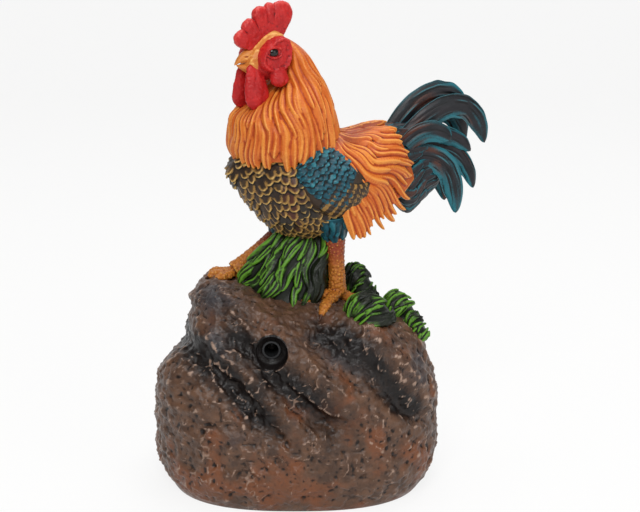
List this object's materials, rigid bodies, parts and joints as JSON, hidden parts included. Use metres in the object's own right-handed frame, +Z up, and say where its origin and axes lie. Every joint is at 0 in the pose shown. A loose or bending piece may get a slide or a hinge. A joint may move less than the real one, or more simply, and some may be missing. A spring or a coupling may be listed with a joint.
{
  "type": "rooster garden sculpture",
  "caption": "Painted resin rooster striding over a hollow rock, with a motion sensor in the rock face and a sound module behind a base plate with a battery door.",
  "frame": {"origin": "on the ground, under the middle of the object's box", "axes": "+Z up; the bird walks towards -X and the rock's sensor faces -Y"},
  "size_m": [0.169, 0.1154, 0.241],
  "materials": {
    "rock_paint": "painted resin, satin varnish",
    "breast_paint": "painted resin, semi-gloss varnish",
    "hackle_paint": "painted resin, semi-gloss varnish",
    "skin_paint": "painted resin, semi-gloss varnish",
    "comb_paint": "painted resin, semi-gloss varnish",
    "eye_black": "gloss black",
    "wing_paint": "painted resin, semi-gloss varnish",
    "tail_paint": "painted resin, semi-gloss varnish",
    "shank_paint": "painted resin, semi-gloss varnish",
    "grass_paint": "painted resin, semi-gloss varnish",
    "black_moulding": "moulded, fine texture",
    "cell_wrap": "printed shrink wrap, left bare",
    "nickel": "nickel plated",
    "steel": "zinc plated",
    "board_green": "solder mask",
    "cone_paper": "pressed paper",
    "lead_red": "insulated wire"
  },
  "bodies": {
    "figure": {"rock_base": "rock_paint", "torso": "breast_paint", "neck_hackle": "hackle_paint", "head": "skin_paint", "comb": "comb_paint", "beak_upper": "skin_paint", "beak_lower": "skin_paint", "wattle_left": "comb_paint", "wattle_right": "comb_paint", "face_left": "comb_paint", "face_right": "comb_paint", "eye_left": "eye_black", "eye_right": "eye_black", "wing_left": "wing_paint", "wing_right": "wing_paint", "saddle_left": "hackle_paint", "saddle_right": "hackle_paint", "thigh_left": "wing_paint", "thigh_right": "wing_paint", "leg_left": "shank_paint", "leg_right": "shank_paint", "leg_rod_left": "steel", "leg_rod_right": "steel", "tail_core": "tail_paint", "tail_feather_1": "tail_paint", "tail_feather_2": "tail_paint", "tail_feather_3": "tail_paint", "tail_feather_4": "tail_paint", "tail_feather_5": "tail_paint", "tail_feather_6": "tail_paint", "tail_feather_7": "tail_paint", "tail_feather_8": "tail_paint", "grass_centre": "grass_paint", "grass_back": "grass_paint", "grass_front": "grass_paint", "grass_side": "grass_paint", "grass_edge": "grass_paint", "sensor_tube": "black_moulding", "photo_sensor": "eye_black", "base_plate": "black_moulding", "cell_1": "cell_wrap", "cell_2": "cell_wrap", "contact_bridge": "nickel", "contact_positive": "nickel", "contact_negative": "nickel", "speaker_basket": "steel", "speaker_cone": "cone_paper", "speaker_magnet": "steel", "circuit_board": "board_green", "sound_chip": "black_moulding", "switch_case": "nickel", "sensor_lead": "lead_red", "speaker_lead": "lead_red", "plate_screw_1": "steel", "plate_screw_2": "steel", "plate_screw_3": "steel", "plate_screw_4": "steel"},
    "door": {"battery_door": "black_moulding"},
    "knob": {"switch_knob": "black_moulding"}
  },
  "joints": [
    {"name": "battery_door_hinge", "type": "hinge", "parent": "figure", "child": "door", "pos_m": [-0.01248, -0.00736, 0.0036], "axis": [1, 0, 0], "range_deg": [0, 80]},
    {"name": "switch_slide", "type": "slide", "parent": "figure", "child": "knob", "axis": [1, 0, 0], "range_m": [0, 0.004]}
  ]
}
